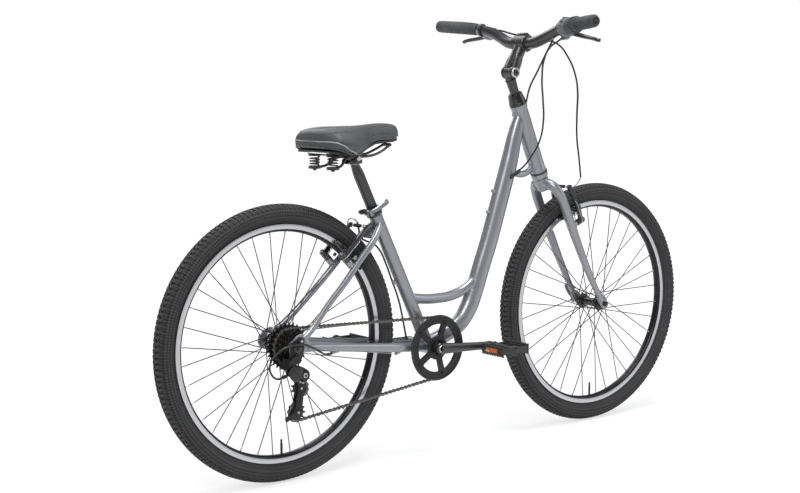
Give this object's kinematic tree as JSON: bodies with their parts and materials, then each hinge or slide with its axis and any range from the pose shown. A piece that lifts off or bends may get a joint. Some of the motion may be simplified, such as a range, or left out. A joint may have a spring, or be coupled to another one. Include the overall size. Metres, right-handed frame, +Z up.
{
  "type": "step-through bicycle",
  "caption": "Step-through bicycle with a swept low frame, cable rim brakes, a twist shifter and rear derailleur, an adjustable stem and a sprung saddle.",
  "frame": {"origin": "on the ground, midway between the two wheel axles, in the plane of the wheels", "axes": "+X to the front of the bicycle, +Y to the rider's left, +Z up"},
  "size_m": [1.7702, 0.6344, 1.1496],
  "materials": {
    "frame_silver": "satin metallic silver-grey paint",
    "black_paint": "satin black paint",
    "black_plastic": "moulded, slightly rough",
    "grip_rubber": "matt, finely ribbed",
    "tyre_rubber": "matt tread, smooth sidewall",
    "leatherette": "synthetic cover, fine grain, stitched",
    "plated_steel": "zinc plated",
    "dark_steel": "dark, slightly worn",
    "chain_steel": "dark brown, oiled",
    "rim_alloy": "black anodised, bright machined brake tracks",
    "bare_alloy": "polished"
  },
  "bodies": {
    "frame": {"head_tube": "frame_silver", "down_tube": "frame_silver", "brace_tube": "frame_silver", "seat_tube": "frame_silver", "bottom_bracket_shell": "frame_silver", "bottom_bracket_cartridge": "dark_steel", "chainstays": "frame_silver", "seatstays": "frame_silver", "seat_collar": "black_paint", "rear_axle": "plated_steel", "derailleur_knuckle": "black_plastic", "derailleur_housing": "black_plastic", "chain": "chain_steel", "rear_brake_housing": "black_plastic", "shift_housing": "black_plastic", "rear_brake_front_housing": "black_plastic"},
    "seat_lever": {"seat_quick_release_lever": "bare_alloy"},
    "fork": {"fork": "frame_silver", "headset_upper_cup": "black_paint", "stem_quill": "black_paint", "front_axle": "plated_steel", "front_brake_cable": "black_plastic"},
    "front_lever": {"front_quick_release_lever": "bare_alloy"},
    "cockpit": {"stem_arm": "black_paint", "stem_hinge_bolt": "plated_steel", "handlebar": "black_paint", "left_grip": "grip_rubber", "right_grip": "grip_rubber", "shifter_body": "black_plastic", "left_lever_bracket": "black_paint", "right_lever_bracket": "black_paint"},
    "twist_grip": {"shift_twist_grip": "grip_rubber"},
    "left_lever": {"left_brake_lever": "black_paint"},
    "right_lever": {"right_brake_lever": "black_paint"},
    "front_left_arm": {"front_left_brake_arm": "black_paint"},
    "front_right_arm": {"front_right_brake_arm": "black_paint"},
    "rear_left_arm": {"rear_left_brake_arm": "black_paint"},
    "rear_right_arm": {"rear_right_brake_arm": "black_paint"},
    "front_wheel": {"front_tyre": "tyre_rubber", "front_rim": "rim_alloy", "front_spoked_hub": "dark_steel"},
    "rear_wheel": {"rear_tyre": "tyre_rubber", "rear_rim": "rim_alloy", "rear_spoked_hub": "dark_steel"},
    "freewheel": {"freewheel_cogs": "chain_steel"},
    "crankset": {"chainring": "dark_steel", "right_crank": "black_paint", "left_crank": "black_paint"},
    "right_pedal": {"right_pedal": "black_plastic"},
    "left_pedal": {"left_pedal": "black_plastic"},
    "outer_link": {"derailleur_outer_link": "black_plastic"},
    "inner_link": {"derailleur_inner_link": "black_plastic"},
    "moving_knuckle": {"derailleur_moving_knuckle": "black_plastic"},
    "cage": {"derailleur_cage": "dark_steel"},
    "upper_jockey": {"upper_jockey_wheel": "black_plastic"},
    "lower_jockey": {"lower_jockey_wheel": "black_plastic"},
    "seatpost": {"seatpost": "black_paint"},
    "saddle": {"saddle_rails": "dark_steel", "saddle_base": "black_plastic", "saddle_pad": "leatherette"}
  },
  "joints": [
    {"name": "steering", "type": "hinge", "parent": "frame", "child": "fork", "pos_m": [0.329, 0, 0.725], "axis": [-0.3907, 0, 0.9205], "range_deg": [-60, 60], "deforming": ["shift_housing", "rear_brake_front_housing"]},
    {"name": "stem_tilt", "type": "hinge", "parent": "fork", "child": "cockpit", "pos_m": [0.2156, 0, 1.00495], "axis": [0, 1, 0], "range_deg": [-20, 20], "deforming": ["shift_housing", "rear_brake_front_housing", "front_brake_cable"]},
    {"name": "front_wheel_spin", "type": "hinge", "parent": "fork", "child": "front_wheel", "pos_m": [0.541, 0, 0.346], "axis": [0, 1, 0], "continuous": true},
    {"name": "rear_wheel_spin", "type": "hinge", "parent": "frame", "child": "rear_wheel", "pos_m": [-0.541, 0, 0.346], "axis": [0, 1, 0], "continuous": true},
    {"name": "crank_spin", "type": "hinge", "parent": "frame", "child": "crankset", "pos_m": [-0.081, 0, 0.29], "axis": [0, 1, 0], "continuous": true, "deforming": ["chain"]},
    {"name": "freewheel_spin", "type": "hinge", "parent": "frame", "child": "freewheel", "pos_m": [-0.541, 0, 0.346], "axis": [0, 1, 0], "continuous": true, "deforming": ["chain"]},
    {"name": "right_pedal_spin", "type": "hinge", "parent": "crankset", "child": "right_pedal", "pos_m": [0.08868, -0.13, 0.27962], "axis": [0, 1, 0], "continuous": true},
    {"name": "left_pedal_spin", "type": "hinge", "parent": "crankset", "child": "left_pedal", "pos_m": [-0.25068, 0.13, 0.30038], "axis": [0, 1, 0], "continuous": true},
    {"name": "left_brake_lever_pull", "type": "hinge", "parent": "cockpit", "child": "left_lever", "pos_m": [0.29289, 0.171, 1.11304], "axis": [0.5924, 0, 0.8056], "range_deg": [0, 22], "stiffness_Nm_per_rad": 0.8, "springref_deg": -17.19},
    {"name": "right_brake_lever_pull", "type": "hinge", "parent": "cockpit", "child": "right_lever", "pos_m": [0.29623, -0.15, 1.10942], "axis": [-0.5924, 0, -0.8056], "range_deg": [0, 22], "stiffness_Nm_per_rad": 0.8, "springref_deg": -17.19},
    {"name": "front_left_arm_close", "type": "hinge", "parent": "fork", "child": "front_left_arm", "pos_m": [0.45244, 0.042, 0.59303], "axis": [0.9205, 0, 0.3907], "range_deg": [0, 3.7], "deforming": ["front_brake_cable"]},
    {"name": "front_right_arm_close", "type": "hinge", "parent": "fork", "child": "front_right_arm", "pos_m": [0.45244, -0.042, 0.59303], "axis": [-0.9205, 0, -0.3907], "range_deg": [0, 3.7], "deforming": ["front_brake_cable"]},
    {"name": "rear_left_arm_close", "type": "hinge", "parent": "frame", "child": "rear_left_arm", "pos_m": [-0.37507, 0.042, 0.55327], "axis": [0.6691, 0, -0.7431], "range_deg": [0, 3.7], "deforming": ["rear_brake_housing"]},
    {"name": "rear_right_arm_close", "type": "hinge", "parent": "frame", "child": "rear_right_arm", "pos_m": [-0.37507, -0.042, 0.55327], "axis": [-0.6691, 0, 0.7431], "range_deg": [0, 3.7], "deforming": ["rear_brake_housing"]},
    {"name": "shift_twist", "type": "hinge", "parent": "cockpit", "child": "twist_grip", "pos_m": [0.25095, -0.208, 1.12688], "axis": [0.2368, 0.9671, -0.0931], "range_deg": [-30, 60]},
    {"name": "derailleur_shift", "type": "hinge", "parent": "frame", "child": "outer_link", "pos_m": [-0.569, -0.092, 0.306], "axis": [0.4763, 0, 0.8793], "range_deg": [-20, 10], "deforming": ["derailleur_housing", "chain"]},
    {"name": "derailleur_inner_link_swing", "type": "hinge", "parent": "frame", "child": "inner_link", "pos_m": [-0.57327, -0.07781, 0.30831], "axis": [0.4763, 0, 0.8793], "range_deg": [-20, 10]},
    {"name": "derailleur_knuckle_swing", "type": "hinge", "parent": "outer_link", "child": "moving_knuckle", "pos_m": [-0.533, -0.078, 0.2865], "axis": [0.4763, 0, 0.8793], "range_deg": [-10, 20], "deforming": ["chain"]},
    {"name": "cage_swing", "type": "hinge", "parent": "moving_knuckle", "child": "cage", "pos_m": [-0.517, -0.058, 0.276], "axis": [0, 1, 0], "range_deg": [-20, 35], "stiffness_Nm_per_rad": 0.6, "deforming": ["chain"]},
    {"name": "upper_jockey_spin", "type": "hinge", "parent": "cage", "child": "upper_jockey", "pos_m": [-0.51319, -0.043, 0.2397], "axis": [0, 1, 0], "continuous": true, "deforming": ["chain"]},
    {"name": "lower_jockey_spin", "type": "hinge", "parent": "cage", "child": "lower_jockey", "pos_m": [-0.52281, -0.043, 0.18018], "axis": [0, 1, 0], "continuous": true, "deforming": ["chain"]},
    {"name": "seat_height", "type": "slide", "parent": "frame", "child": "seatpost", "axis": [-0.4337, 0, 0.9011], "range_m": [-0.1, 0.06]},
    {"name": "saddle_tilt", "type": "hinge", "parent": "seatpost", "child": "saddle", "pos_m": [-0.31542, 0, 0.7937], "axis": [0, 1, 0], "range_deg": [-12, 12]},
    {"name": "seat_quick_release", "type": "hinge", "parent": "frame", "child": "seat_lever", "pos_m": [-0.27607, -0.0228, 0.65484], "axis": [0.4305, 0, -0.9026], "range_deg": [0, 170]},
    {"name": "front_quick_release", "type": "hinge", "parent": "fork", "child": "front_lever", "pos_m": [0.541, 0.0708, 0.346], "axis": [-0.7986, 0, -0.6018], "range_deg": [0, 170]}
  ],
  "couplings": [
    {"joint": "freewheel_spin", "follows": "crank_spin", "ratio": 1.8182},
    {"joint": "lower_jockey_spin", "follows": "crank_spin", "ratio": 3.6364},
    {"joint": "upper_jockey_spin", "follows": "crank_spin", "ratio": -3.6364},
    {"joint": "front_left_arm_close", "follows": "left_brake_lever_pull", "ratio": 0.16},
    {"joint": "front_right_arm_close", "follows": "left_brake_lever_pull", "ratio": 0.16},
    {"joint": "rear_left_arm_close", "follows": "right_brake_lever_pull", "ratio": 0.16},
    {"joint": "rear_right_arm_close", "follows": "right_brake_lever_pull", "ratio": 0.16},
    {"joint": "derailleur_shift", "follows": "shift_twist", "ratio": -0.33333},
    {"joint": "derailleur_inner_link_swing", "follows": "shift_twist", "ratio": -0.33333},
    {"joint": "derailleur_knuckle_swing", "follows": "shift_twist", "ratio": 0.33333}
  ]
}
